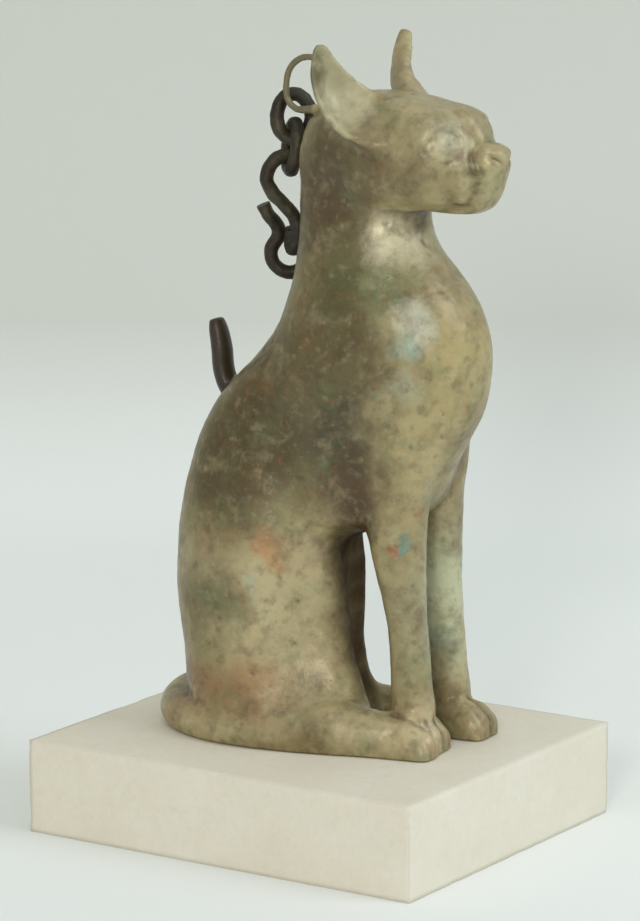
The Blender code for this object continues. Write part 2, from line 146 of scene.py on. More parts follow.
def haunches(body):
    loft(body, [level_ring(*ring) for ring in (
        (-3.0, -30.0, -2.0, 19.5), (6.0, -30.5, 1.0, 20.0), (14.0, -30.8, 2.6, 20.2),
        (22.0, -32.0, 3.8, 20.2), (30.0, -33.4, 4.4, 20.0), (38.0, -33.4, 4.8, 19.6),
        (45.0, -32.7, 4.8, 19.2), (52.0, -31.6, 5.0, 18.2), (59.0, -30.0, 5.0, 17.0),
        (65.0, -27.6, 4.6, 16.0), (71.0, -24.2, 4.0, 15.0), (77.0, -18.6, 3.0, 13.6),
        (83.0, -12.0, 2.0, 11.0))])


def chest(body):
    loft(body, [level_ring(*ring) for ring in (
        (43.0, -12.0, 8.0, 11.0), (46.0, -15.0, 15.0, 12.6), (48.5, -17.0, 23.5, 13.6),
        (53.0, -20.0, 27.0, 14.2), (60.0, -23.0, 29.6, 15.0), (65.0, -24.6, 32.2, 15.8),
        (70.0, -24.0, 35.1, 16.4), (75.0, -20.8, 36.5, 16.6), (80.0, -15.8, 36.9, 16.3),
        (85.0, -11.6, 36.8, 16.0), (90.0, -9.2, 35.5, 15.4), (95.0, -7.6, 32.8, 14.4),
        (100.0, -6.4, 28.9, 13.0), (105.0, -5.8, 24.2, 11.8), (110.0, -5.6, 22.8, 11.0),
        (116.0, -5.8, 22.5, 10.6), (124.0, -5.4, 20.0, 10.0), (129.0, -3.6, 16.0, 9.0))])


def thigh(body, side, knee):
    """The folded hind leg, from the hip down to the knee, whose front is given from the ground up."""
    loft(body, [level_ring(up, back, knee[row], half, side * out) for up, back, row, half, out in (
        (-3.0, -26.0, 0, 7.6, 11.0), (5.0, -26.0, 0, 7.8, 10.5), (11.0, -26.0, 1, 7.8, 9.0),
        (18.0, -27.0, 2, 7.8, 7.6), (26.0, -28.0, 3, 7.8, 7.0), (35.0, -28.0, 4, 7.8, 6.8),
        (44.0, -27.0, 5, 7.6, 6.6), (53.0, -25.0, 6, 7.0, 7.2), (61.0, -21.0, 7, 5.8, 8.4))]
        + [level_ring(67.0, -16.0, knee[7] - 5.0, 4.0, side * 9.0)])


def hind_foot(body, side, toe, instep):
    loft(body, [upright_ring(forward, low, instep * rise + more, half, side * out)
                for forward, low, rise, more, half, out in (
        (-8.0, -6.0, 1.0, -0.6, 5.4, 17.2), (2.0, -6.0, 1.0, -0.2, 5.6, 16.4),
        (10.0, -6.0, 1.0, 0.0, 5.4, 15.0), (16.0, -6.0, 1.0, -0.2, 5.0, 13.8),
        (22.0, -6.0, 0.83, 0.0, 4.7, 13.0), (26.0, -6.0, 0.68, 0.0, 4.4, 12.8),
        (toe - 1.2, -5.0, 0.52, 0.0, 3.9, 12.8), (toe, -3.0, 0.35, 0.0, 2.8, 12.8))])


TAIL = [(at(-27.0, 12.0, 4.6), 4.4), (at(-31.6, 6.0, 4.2), 4.6), (at(-33.6, -1.0, 3.6), 4.6),
        (at(-31.6, -8.4, 3.0), 4.4), (at(-26.6, -14.4, 2.8), 4.2), (at(-19.4, -18.2, 2.6), 4.0),
        (at(-10.0, -19.8, 2.4), 3.8), (at(0.0, -18.8, 2.2), 3.5), (at(9.0, -16.2, 2.0), 3.0),
        (at(16.0, -14.4, 1.8), 2.4)]
LOOP = [(at(2.6, 0.0, 132.6), 1.5), (at(0.2, 0.0, 139.4), 1.0), (at(-2.8, 0.0, 142.6), 0.8),
        (at(-6.2, 0.0, 142.8), 0.8), (at(-9.0, 0.0, 140.6), 0.8), (at(-10.0, 0.0, 137.2), 0.8),
        (at(-9.6, 0.0, 133.8), 0.8), (at(-7.6, 0.0, 132.0), 0.8), (at(-4.8, 0.0, 132.0), 1.0),
        (at(-0.8, 0.0, 132.4), 1.4)]
STUB = [(at(-19.9, 0.0, 68.0), 2.7), (at(-23.5, 0.0, 71.6), 2.8), (at(-25.1, 0.0, 75.6), 2.8),
        (at(-25.5, 0.0, 80.0), 2.8), (at(-26.3, 0.0, 84.0), 2.5), (at(-26.9, 0.0, 86.4), 1.9)]


def foreleg(body, side, shift, calf):
    """Shoulder and straight foreleg, the leg deeper behind by its calf."""
    loft(body, [level_ring(up, back - calf * deep, front, half, side * out + shift)
                for up, back, deep, front, half, out in (
        (-3.0, 19.2, 1, 28.4, 4.6, 8.4), (9.0, 19.2, 1, 28.6, 4.5, 8.4), (14.0, 19.0, 1, 27.8, 4.3, 8.4),
        (20.0, 18.8, 1, 27.2, 4.2, 8.4), (27.0, 18.0, 1, 26.6, 4.3, 8.4),
        (34.0, 16.4, 1, 26.2, 4.7, 8.4), (41.0, 14.4, 0, 26.2, 5.2, 8.4),
        (48.0, 12.4, 0, 26.2, 5.6, 8.2), (56.0, 8.6, 0, 27.2, 6.6, 7.8), (66.0, 4.0, 0, 28.4, 7.6, 7.6),
        (77.0, 1.0, 0, 28.6, 8.6, 7.4), (88.0, 2.0, 0, 27.0, 8.4, 6.4), (96.0, 5.0, 0, 22.0, 6.6, 5.4))])


def paw(body, side, shift, reach):
    loft(body, [upright_ring(forward, low, high, half, side * out + shift, square)
                for forward, low, high, half, out, square in (
        (18.0, -4.0, 5.0, 3.6, 8.4, 2.2), (22.0, -5.0, 8.6, 4.6, 8.2, 2.2),
        (27.0, -5.0, 8.4, 5.2, 8.0, 2.2),
        (reach - 3.0, -5.0, 6.8, 5.4, 8.0, 2.6), (reach - 0.8, -4.0, 5.0, 4.9, 8.0, 2.6),
        (reach, -2.0, 3.4, 3.6, 8.0, 2.6))])


def skull(body):
    loft(body, [[on_head(point) for point in upright_ring(*ring)] for ring in (
        (-4.6, 116.0, 127.0, 5.0), (-2.6, 113.0, 131.5, 8.2), (1.0, 111.0, 134.6, 9.8),
        (7.0, 110.5, 136.6, 11.4, 0, 2.4), (14.0, 111.5, 137.2, 12.6, 0, 2.6),
        (21.0, 112.8, 136.6, 13.2, 0, 2.8), (26.0, 113.4, 135.4, 13.2, 0, 3.0),
        (30.0, 113.8, 134.9, 12.8, 0, 3.2), (32.6, 114.4, 133.6, 11.2, 0, 3.2),
        (34.0, 115.4, 131.6, 9.2, 0, 2.8), (34.8, 117.5, 128.6, 6.0, 0, 2.4))])


def muzzle(body):
    loft(body, [[on_head(point) for point in level_ring(up, 24.0, front, half, 0, 2.7)]
                for up, front, half in (
        (113.3, 36.6, 4.4), (114.6, 39.0, 5.0), (117.5, 40.8, 5.3), (120.5, 41.8, 5.4),
        (122.8, 42.5, 5.2), (125.2, 42.9, 4.6), (127.0, 42.2, 3.9), (127.9, 40.6, 3.0))])


def head_rod(body, side, rows, ahead=0.0):
    """A rod on one side of the head, through rows of forward, left, up and radius."""
    rod(body, [(on_head(at(forward + ahead, side * left, up)), radius)
               for forward, left, up, radius in rows])


def cheek(body, side):
    """The full cheek beside the muzzle."""
    head_rod(body, side, ((32.4, 6.6, 126.6, 2.6), (34.8, 5.6, 123.4, 3.0), (35.2, 5.2, 119.6, 3.0),
                          (33.8, 4.8, 116.4, 2.4)))


def eyeball(body, side, back):
    """The bulge of the eye, worn smooth."""
    head_rod(body, side, ((29.0, 10.6, 127.6, 2.3), (30.6, 8.6, 127.9, 3.1), (31.2, 6.6, 128.1, 2.9),
                          (31.4, 5.2, 128.1, 2.0)), -back)


def nose_bridge(body):
    """The broad bridge of the nose, and the flesh beside it that closes the corners of the eyes."""
    head_rod(body, 1, ((30.0, 0, 133.2, 3.0), (32.6, 0, 130.8, 3.6), (34.8, 0, 128.0, 3.6),
                       (36.2, 0, 125.4, 3.2)))
    for side in (-1, 1):
        head_rod(body, side, ((32.4, 5.0, 130.6, 2.0), (33.9, 4.6, 128.0, 2.4), (35.0, 4.6, 125.4, 2.4)))


def bend(points, t):
    """A smooth curve from the first point to the last, drawn towards those between."""
    while len(points) > 1:
        points = [a.lerp(b, t) for a, b in zip(points, points[1:])]
    return points[0]


def ear(body, side, ahead, lean, lift, thick):
    """A thick scooped ear, open outwards and forwards, its tip leant back and raised."""
    def place(forward, left, up):
        tipward = max(up - 136.0, 0.0) / 12.6
        return at(forward + ahead - lean * tipward, side * left, up + lift * tipward)

    inner_edge, hollow, outer_rim = ([place(*spot) for spot in edge] for edge in (
        ((19.0, 3.0, 136.0), (12.0, 9.0, 139.0), (11.0, 14.0, 143.0), (9.4, 16.2, 148.6)),
        ((18.6, 7.0, 128.0), (7.6, 8.0, 131.0), (3.6, 13.4, 141.0), (8.0, 16.6, 148.4)),
        ((26.6, 12.6, 128.5), (13.8, 18.6, 125.5), (5.2, 18.6, 137.0), (8.0, 17.2, 148.4))))

    def scoop(v, u):
        return bend([bend(line, v) for line in (inner_edge, hollow, outer_rim)], u)

    lengthwise, crosswise, step = 24, 20, 0.01
    rings = []
    for row in range(lengthwise + 1):
        v = row / lengthwise
        face, behind = [], []
        for column in range(crosswise + 1):
            u = column / crosswise
            point = scoop(v, u)
            low_v, low_u = min(v, 1 - step), min(u, 1 - step)
            lengthways = scoop(low_v + step, low_u) - scoop(low_v, low_u)
            crossways = scoop(low_v, low_u + step) - scoop(low_v, low_u)
            outward = lengthways.cross(crossways).normalized() * -side
            thickness = (3.6 - 2.1 * v) * thick * (0.45 + 0.55 * math.sin(math.pi * u))
            face.append(point)
            behind.append(point - outward * thickness)
        rings.append([on_head(point) for point in face + behind[::-1]])
    loft(body, rings)


def ear_root(body, side, ahead):
    """The flesh that fills the crease between the ear's hollow and the skull."""
    head_rod(body, side, ((12.6, 6.6, 135.4, 2.6), (12.4, 9.2, 133.0, 3.6), (15.6, 11.0, 129.8, 3.5),
                          (20.0, 11.7, 127.6, 3.0), (24.0, 11.4, 127.2, 2.2)), ahead)


def ear_front(body):
    """The fuller foot of the left ear's front edge."""
    head_rod(body, 1, ((13.2, 11.4, 138.4, 1.4), (15.2, 9.8, 135.7, 2.0), (18.4, 8.0, 134.0, 1.9),
                       (22.2, 6.8, 133.0, 1.4)))


def set_down(name, body):
    """The mesh of a finished body, and the body freed."""
    mesh = bpy.data.meshes.new(name)
    body.to_mesh(mesh)
    body.free()
    return mesh


def wax(name, shapes, earlier=None):
    """One mesh of closed shells, with an earlier mesh laid in."""
    body = bmesh.new()
    for shape, arguments in shapes:
        shape(body, *arguments)
    bmesh.ops.recalc_face_normals(body, faces=body.faces)
    if earlier:
        body.from_mesh(earlier)
    return set_down(name, body)


def shown(name, mesh):
    thing = bpy.data.objects.new(name, mesh)
    bpy.context.scene.collection.objects.link(thing)
    return thing


def settled(thing):
    """The plain mesh of an object with its modifiers, and the object gone."""
    mesh = bpy.data.meshes.new_from_object(thing.evaluated_get(bpy.context.evaluated_depsgraph_get()))
    bpy.data.objects.remove(thing)
    return mesh


def melted(name, mesh, grain, rubbing):
    """The mesh that comes of running the shells together and rubbing the joins soft."""
    lump = shown(name, mesh)
    run = lump.modifiers.new("run", "REMESH")
    run.mode = "VOXEL"
    run.voxel_size = grain
    rub = lump.modifiers.new("rub", "SMOOTH")
    rub.factor = 0.5
    rub.iterations = rubbing
    return settled(lump)


def cast_cat():
    """The whole cat as one skin of small faces, in millimetres."""
    trunk = melted("trunk", wax("trunk", [(haunches, ()), (chest, ())]), TRUNK_GRAIN, TRUNK_RUBBING)
    torso = melted("torso", wax("torso", [
        (skull, ()),
        (thigh, (-1, (16.4, 13.0, 9.4, 8.2, 7.0, 5.2, 3.4, 1.0))),
        (thigh, (1, (7.0, 4.6, 4.0, 4.6, 5.0, 3.6, 2.2, 0.0))),
        (hind_foot, (-1, 31.4, 9.6)),
        (hind_foot, (1, 30.4, 6.4)),
        (rod, (TAIL,)),
        (foreleg, (-1, 0.8, 0.0)),
        (foreleg, (1, 1.5, 1.4)),
    ], trunk), BODY_GRAIN, BODY_RUBBING)
    return melted("cat_skin", wax("cat_skin", [
        (paw, (-1, 0.8, 30.8)),
        (paw, (1, 0.8, 34.2)),
        (muzzle, ()),
        (cheek, (-1,)),
        (cheek, (1,)),
        (eyeball, (-1, 0.0)),
        (eyeball, (1, 1.2)),
        (nose_bridge, ()),
        (ear, (-1, 0.0, 0.0, -1.2, 1.0)),
        (ear, (1, 1.5, 1.1, -0.9, 1.4)),
        (ear_root, (-1, 0.0)),
        (ear_root, (1, 1.5)),
        (ear_front, ()),
        (rod, (LOOP,)),
        (rod, (STUB, 0.8, Vector((0, 1, 0)))),
    ], torso), SKIN_GRAIN, SKIN_RUBBING)


# Carving, done on the skin's points along their normals

def read_all(items, name, width=3, kind=float):
    """One value of every item, as rows."""
    flat = np.empty(len(items) * width, kind)
    items.foreach_get(name, flat)
    return flat.reshape(-1, width)


def far_from(points, line):
    """How far each point is from a line of straight pieces."""
    best = np.full(len(points), 1e9)
    for start, end in zip(line, line[1:]):
        along = end - start
        share = np.clip((points - start) @ along / max(along @ along, 1e-9), 0, 1)
        best = np.minimum(best, np.linalg.norm(points - start - share[:, None] * along, axis=1))
    return best


def smooth_line(places):
    return np.array([tuple(place) for place, _ in smooth_path([(Vector(p), 0) for p in places], 5)])


def groove(points, moves, places, width, depth):
    """Press a soft groove along a line, or raise a ridge where the depth is negative."""
    line = smooth_line(places)
    low, high = line.min(0) - 3 * width, line.max(0) + 3 * width
    near = np.flatnonzero(((points > low) & (points < high)).all(1))
    if len(near):
        moves[near] -= depth * np.exp(-(far_from(points[near], line) / width) ** 2)


def grooves(points, moves, side, table):
    """Grooves on one side, each a width, a depth, and places as forward, left and up."""
    for width, depth, *places in table:
        line = [at(forward, side * left, up) for forward, left, up in places]
        groove(points, moves, line, width, depth)


def lid(points, moves, side):
    """The worn almond line of the lids round the eye, with a soft rim outside it."""
    outer, inner = np.array(at(30.7, side * 12.4, 127.3)), np.array(at(34.4, side * 5.2, 128.2))
    centre, along = (outer + inner) / 2, inner - outer
    half = np.linalg.norm(along) / 2
    along /= 2 * half
    facing = np.cross(along, (0, 0, 1))
    facing *= math.copysign(1, -facing[1])
    upward = np.cross(facing, along)
    upward *= math.copysign(1, upward[2])
    away = points - centre
    a, b = away @ along / half, away @ upward / 3.0
    reach = np.sqrt(a ** 2 + b ** 2 * (1 + 0.9 * a * a))
    line = 0.10 * np.exp(-((reach - 1.06) / 0.17) ** 2)
    rim = 0.09 * np.exp(-((reach - 1.42) / 0.24) ** 2)
    ball = 0.26 * np.sqrt(np.clip(1 - reach ** 2, 0, 1))
    near = (np.abs(away @ facing) < 4.5) & (reach < 2.2)
    moves += np.where(near, ball + rim - line, 0)


FACE_GROOVES = (
    # brow, fold of the muzzle, nostril, its wing, and lips
    (1.8, -0.30, (34.4, 2.6, 131.4), (33.8, 6.4, 132.6), (31.4, 10.4, 132.6), (27.6, 12.8, 131.6)),
    (1.1, 0.35, (36.2, 4.7, 126.6), (37.6, 5.1, 123.0), (37.4, 5.0, 119.0), (36.0, 4.6, 116.0)),
    (0.55, 0.5, (41.2, 3.3, 125.4), (42.4, 2.3, 124.7), (43.0, 1.3, 123.8)),
    (0.6, -0.40, (39.4, 3.6, 126.9), (41.4, 2.9, 126.7), (42.9, 1.5, 125.9)),
    (0.5, 0.32, (42.3, 0.0, 119.6), (41.5, 2.8, 118.0), (39.6, 4.9, 116.8), (37.4, 5.4, 116.4)),
)
JAW_GROOVES = ((1.0, 0.30, (36.0, 4.6, 115.0), (30.0, 9.0, 114.4), (23.0, 11.4, 114.2)),)
MUZZLE_PITS = (
    # forward, up, width, depth
    (40.8, 124.4, 0.8, 0.35), (39.6, 122.4, 0.7, 0.4), (41.0, 121.6, 0.6, 0.3), (39.2, 120.0, 0.8, 0.35),
    (40.4, 119.0, 0.5, 0.3), (38.8, 125.8, 0.6, 0.3), (38.6, 117.8, 0.6, 0.3),
)
BODY_GROOVES = (
    # shoulder, elbow, and collar
    (3.2, 0.35, (8.0, 14.6, 62.0), (3.4, 15.0, 74.0), (4.0, 13.6, 86.0)),
    (2.4, 0.4, (14.0, 12.0, 44.0), (11.0, 13.4, 51.0), (8.0, 14.6, 60.0)),
    (1.4, 0.25, (24.0, 6.0, 112.0), (16.0, 11.0, 111.0), (4.0, 10.4, 113.0)),
)


def carve_head(points, moves):
    """Lids, nose, mouth and cheeks, on points turned into the head's own frame."""
    for side in (-1, 1):
        lid(points, moves, side)
        grooves(points, moves, side, FACE_GROOVES)
        for forward, up, width, depth in MUZZLE_PITS:
            pit = [at(forward, side * 5.0, up), at(forward + 0.1, side * 5.6, up)]
            groove(points, moves, pit, width, depth)
        grooves(points, moves, side, JAW_GROOVES)
    groove(points, moves, [at(43.2, 0, 124.2), at(42.6, 0, 122.0), at(42.2, 0, 119.6)], 0.45, 0.3)
    groove(points, moves, [at(37.2, 0, 128.8), at(39.4, 0, 128.4), at(42.0, 0, 127.4)], 1.4, 0.15)


def carve_body(points, moves):
    """Toes, the edge of the tail, and the folds behind the legs."""
    for side, reach, shift in ((-1, 30.8, 0.8), (1, 34.2, 0.8)):
        middle = side * 8.0 + shift
        for out, long in ((-2.9, 0.8), (0.0, 0.0), (2.9, 0.8)):
            toe = [at(reach + 0.4 - long, middle + out, 0.8), at(reach - 0.2 - long, middle + out, 3.4),
                   at(reach - 2.4, middle + out * 0.95, 6.4), at(reach - 5.0, middle + out * 0.8, 7.6)]
            groove(points, moves, toe, 0.75, 0.42)
    for side, toe in ((-1, 31.4), (1, 30.4)):
        for out in (-1.5, 1.5):
            cleft = [at(toe + 0.2, side * 12.8 + out, 0.6), at(toe - 1.2, side * 12.8 + out, 3.6),
                     at(toe - 4.4, side * 12.8 + out, 5.8)]
            groove(points, moves, cleft, 0.65, 0.32)
        instep = [at(8.0, side * 17.6, 9.4), at(15.0, side * 14.0, 9.0), at(21.0, side * 12.0, 8.0)]
        groove(points, moves, instep, 1.2, -0.2)
    for start, depth in ((2, 0.2), (3, 0.25)):
        upper_edge = [place + Vector((0, 0, radius + 0.8)) for place, radius in TAIL[start:start + 3]]
        groove(points, moves, upper_edge, 1.3, depth)
    between = [at(20.0, -12.8, 9.4), at(23.6, -12.4, 7.4), at(26.4, -11.6, 5.6), at(29.0, -10.9, 3.0)]
    groove(points, moves, between, 0.9, 0.5)
    for side in (-1, 1):
        grooves(points, moves, side, BODY_GROOVES)


def weather(points, moves):
    """Uneven casting, corrosion crust and pits."""
    rng = np.random.default_rng(7)
    for row, point in enumerate(points):
        place = Vector(point)
        moves[row] += (0.16 * noise.noise(place * 0.16) + 0.07 * noise.noise(place * 0.55)
                       + 0.035 * noise.noise(place * 1.5))
    for pit in points[rng.integers(0, len(points), PITS)]:
        size = rng.uniform(0.45, 1.15)
        near = np.flatnonzero((np.abs(points - pit) < 2.4 * size).all(1))
        far = np.linalg.norm(points[near] - pit, axis=1) / size
        moves[near] -= rng.uniform(0.10, 0.26) * np.exp(-far ** 2)


def rubbed(points, edges, rounds, share=1.0):
    """The points after each has moved half way to its neighbours' middle, round after round."""
    a, b = edges.T
    size = len(points)
    count = np.maximum(np.bincount(a, minlength=size) + np.bincount(b, minlength=size), 1)[:, None]
    soft = points.copy()
    for _ in range(rounds):
        total = np.stack([np.bincount(a, soft[b, k], size) + np.bincount(b, soft[a, k], size)
                          for k in range(3)], 1)
        soft += 0.5 * share * (total / count - soft)
    return soft


def near_places(points, places):
    """A share from 0 to 1 that fades out with distance from each of some (place, radius)."""
    share = np.zeros(len(points))
    for place, radius in places:
        far = np.linalg.norm(points - np.array(place), axis=1) / radius
        share = np.maximum(share, np.clip(1.5 * (1 - far), 0, 1))
    return share


def softened(points, edges):
    """Rub away creases at ears, cheeks, eyes, the thigh's front, and where it meets tail and foot."""
    places = [(at(-14, -18.4, 8.6), 7), (at(-5, -17, 9.4), 8), (at(4, -15, 10.4), 8),
              (at(11, -12, 10.6), 7), (at(-4, 15.5, 8), 7), (at(6, 13, 8), 7)]
    for side in (-1, 1):
        places += [(on_head(at(13.4, side * 9.2, 133.6)), 7), (on_head(at(18.0, side * 11.8, 130.2)), 6),
                   (on_head(at(22.6, side * 12.4, 128.4)), 5)]
    places.append((on_head(at(15.2, 9.8, 137.0)), 6))
    pads = [(on_head(at(34.6, side * 7.4, 120.6)), 6) for side in (-1, 1)]
    pads += [(on_head(at(34.8, side * 4.6, 127.0)), 3.4) for side in (-1, 1)]
    pads += [(at(7.6, -6.6, up), 6) for up in (15, 23, 31, 39)]
    soft = points
    for group, rounds in ((places, CREASE_ROUNDS), (pads, PAD_ROUNDS)):
        share = near_places(soft, group)
        near = np.flatnonzero(share > 0)
        place_of = np.full(len(points), -1)
        place_of[near] = np.arange(len(near))
        inside = place_of[edges]
        inside = inside[(inside >= 0).all(1)]
        soft = soft.copy()
        soft[near] = rubbed(soft[near], inside, rounds, share[near, None])
    return soft


def relief_of(points, edges, normals, rounds):
    """How far each point stands out of its rubbed surroundings, in millimetres."""
    return ((points - rubbed(points, edges, rounds)) * normals).sum(1)


def hold(mesh, name, values):
    layer = mesh.attributes.new(name, "FLOAT", "POINT")
    layer.data.foreach_set("value", np.asarray(values, np.float32))


def level_seat(mesh):
    """Cut the feet and the seat flat, and close them."""
    body = bmesh.new()
    body.from_mesh(mesh)
    geometry = body.verts[:] + body.edges[:] + body.faces[:]
    cut = bmesh.ops.bisect_plane(body, geom=geometry, plane_co=(0, 0, 0), plane_no=(0, 0, 1),
                                 clear_inner=True)
    rim = [item for item in cut["geom_cut"] if isinstance(item, bmesh.types.BMEdge)]
    bmesh.ops.holes_fill(body, edges=rim, sides=0)
    body.normal_update()
    body.to_mesh(mesh)
    body.free()


def finish_cat():
    mesh = cast_cat()
    edges = read_all(mesh.edges, "vertices", 2, np.int64)
    points = softened(read_all(mesh.vertices, "co"), edges)
    mesh.vertices.foreach_set("co", points.ravel())
    mesh.update()
    normals = read_all(mesh.vertex_normals, "vector")
    moves = np.zeros(len(points))
    pivot = np.array(at(NECK_FORWARD, 0, 0))
    turn = np.array(Matrix.Rotation(-HEAD_TURN, 3, "Z"))
    head_points = (points - pivot) @ turn.T + pivot
    on_the_head = head_points[:, 2] > HEAD_FROM
    head_moves = np.zeros(len(points))
    carve_head(head_points, head_moves)
    moves += np.where(on_the_head, head_moves, 0)
    carve_body(points, moves)
    ring = np.minimum(far_from(points, smooth_line([p for p, _ in LOOP])) - 1.2,
                      far_from(points, smooth_line([p for p, _ in STUB[1:]])) - 2.6)
    thin = np.clip(ring / 1.5, 0.25, 1)
    rough = np.zeros(len(points))
    weather(points, rough)
    points = points + normals * (moves + rough * thin)[:, None]
    mesh.vertices.foreach_set("co", points.ravel())
    mesh.update()
    normals = read_all(mesh.vertex_normals, "vector")
    hold(mesh, "fine_relief", relief_of(points, edges, normals, FINE_ROUNDS))
    hold(mesh, "broad_relief", relief_of(points, edges, normals, BROAD_ROUNDS))
    stub = far_from(points, smooth_line([p for p, _ in STUB[1:]]))
    hold(mesh, "strap", np.clip((4.3 - stub) / 1.2, 0, 1) * (points[:, 1] > 22.4))
    # Painted shade: a mask over the recess between the thighs, the belly and the forelegs, darkened in
    # the bronze's colour
    gap = [(at(8.0, left, up), 8.5) for left in (-2.0, 3.0, 7.0) for up in range(10, 50, 6)]
    hold(mesh, "shade", near_places(points, gap))
    loop = far_from(points, smooth_line([p for p, _ in LOOP[1:-1]]))
    hold(mesh, "loop", np.clip((2.2 - loop) / 1.0, 0, 1))
    level_seat(mesh)
    skin = shown("cat_skin", mesh)
    lighten = skin.modifiers.new("lighten", "DECIMATE")
    triangles = sum(len(face.vertices) - 2 for face in mesh.polygons)
    lighten.ratio = min(1.0, SKIN_TRIANGLES / triangles)
    mesh = settled(skin)
    mesh.transform(Matrix.Translation((CAT_LEFT_OF_CENTRE * MM, 0, SEAT_HEIGHT))
                   @ Matrix.Rotation(CAT_TURN, 4, "Z") @ Matrix.Scale(MM, 4))
    mesh.shade_smooth()
    return shown("bronze_cat", mesh)


# The chain

RING_SIZE = (9.9, 12.46)
WIRE = 2.7
CRUSTED_WIRE, WIRE_STEP, WIRE_SWELLING = 2.95, 0.3, 0.7
LINK_CLEARANCE, LINK_SLACK = 0.3, 0.7
HOOK_LENGTH, CURL_LENGTH = 20.56, 12.6
HOOK_SHAPE = ((0.17, -0.04, -0.024), (0.06, 0.0, -0.014), (-0.08, 0.0, 0.009), (-0.20, -0.09, 0.024),
              (-0.24, -0.24, 0.024), (-0.17, -0.38, 0.014), (-0.06, -0.50, 0.0), (0.04, -0.62, 0.0),
              (0.08, -0.76, 0.0), (0.07, -0.90, -0.014), (0.04, -0.97, -0.066),
              (0.02, -0.93, -0.127), (0.03, -0.80, -0.150))
CURL_SHAPE = ((-0.44, 0.50, 0.12), (-0.35, 0.32, 0.10), (-0.20, 0.12, 0.03), (-0.19, -0.06, 0.0),
              (-0.30, -0.26, 0.0), (-0.29, -0.46, 0.0), (-0.15, -0.62, 0.0), (0.05, -0.67, 0.0),
              (0.24, -0.57, -0.02), (0.31, -0.36, -0.05), (0.26, -0.14, -0.07), (0.12, 0.0, -0.09),
              (-0.02, -0.04, -0.22))
CHAIN_FACE = math.radians(56)
CHAIN_HANG = at(-8.1, 0.65, 134.85)


def add(nodes, kind, **inputs):
    node = nodes.new(kind)
    for name, value in inputs.items():
        node.inputs[name].default_value = value
    return node


def reckon(nodes, operation, second=None, kind="ShaderNodeMath"):
    """A node that does one sum, with its second value set where it is given."""
    node = nodes.new(kind)
    node.operation = operation
    if second is not None:
        node.inputs[1].default_value = second
    return node


def join(tree, *links):
    """Link sockets, each link a node with its output and a node with its input."""
    for source, given, target, taken in links:
        tree.links.new(source.outputs[given], target.inputs[taken])


def ask(tree, numbers):
    """Give a node tree its inputs for numbers."""
    for name, value in numbers:
        socket = tree.interface.new_socket(name, in_out="INPUT", socket_type="NodeSocketFloat")
        socket.default_value = value


def wire_tree():
    """A node tree that turns a centre line into a corroded wire of a given thickness."""
    tree = bpy.data.node_groups.new("corroded_wire", "GeometryNodeTree")
    face = tree.interface
    face.new_socket("Geometry", in_out="INPUT", socket_type="NodeSocketGeometry")
    ask(tree, (("Thickness", 0.0027), ("Step", 0.0003), ("Swelling", 0.0002), ("Seed", 1.0)))
    face.new_socket("Finish", in_out="INPUT", socket_type="NodeSocketMaterial")
    face.new_socket("Geometry", in_out="OUTPUT", socket_type="NodeSocketGeometry")
    nodes = tree.nodes
    given, given_out = nodes.new("NodeGroupInput"), nodes.new("NodeGroupOutput")
    resample = nodes.new("GeometryNodeResampleCurve")
    resample.mode = "LENGTH"
    profile = add(nodes, "GeometryNodeCurvePrimitiveCircle", Resolution=28)
    half = reckon(nodes, "MULTIPLY", 0.5)
    sweep = add(nodes, "GeometryNodeCurveToMesh", **{"Fill Caps": True})
    crust = add(nodes, "ShaderNodeTexNoise", Scale=430.0, Detail=3.0)
    crust.noise_dimensions = "4D"
    centred = reckon(nodes, "SUBTRACT", 0.5)
    amount = reckon(nodes, "MULTIPLY")
    normal = nodes.new("GeometryNodeInputNormal")
    push = reckon(nodes, "SCALE", kind="ShaderNodeVectorMath")
    move, smooth, realize, coat = (nodes.new("GeometryNode" + kind) for kind in (
        "SetPosition", "SetShadeSmooth", "RealizeInstances", "SetMaterial"))
    join(tree, (given, "Geometry", resample, "Curve"), (given, "Step", resample, "Length"),
         (given, "Thickness", half, 0), (half, 0, profile, "Radius"),
         (resample, 0, sweep, "Curve"), (profile, 0, sweep, "Profile Curve"),
         (given, "Seed", crust, "W"), (crust, 0, centred, 0), (centred, 0, amount, 0),
         (given, "Swelling", amount, 1), (normal, 0, push, 0), (amount, 0, push, "Scale"),
         (sweep, 0, move, "Geometry"), (push, 0, move, "Offset"), (move, 0, smooth, "Geometry"),
         (smooth, 0, realize, 0), (realize, 0, coat, "Geometry"),
         (given, "Finish", coat, "Material"), (coat, 0, given_out, 0))
    return tree


def make_link(index, line, closed, tree, finish):
    """One link of the chain, from its centre line in metres."""
    curve = bpy.data.curves.new("link_line", "CURVE")
    curve.dimensions = "3D"
    spline = curve.splines.new("POLY")
    spline.points.add(len(line) - 1)
    for knot, point in zip(spline.points, line):
        knot.co = (*point, 1)
    spline.use_cyclic_u = closed
    thing = shown("link_line", curve)
    grow = thing.modifiers.new("wire", "NODES")
    grow.node_group = tree
    wanted = {"Thickness": CRUSTED_WIRE * MM, "Step": WIRE_STEP * MM, "Swelling": WIRE_SWELLING * MM,
              "Seed": 1.7 * index, "Finish": finish}
    for item in tree.interface.items_tree:
        if item.in_out == "INPUT" and item.name in wanted:
            grow[item.identifier] = wanted[item.name]
    mesh = settled(thing)
    link = shown("chain_wire_%d" % index, mesh)
    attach(link, "root")
    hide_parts("chain_link_%d" % index)


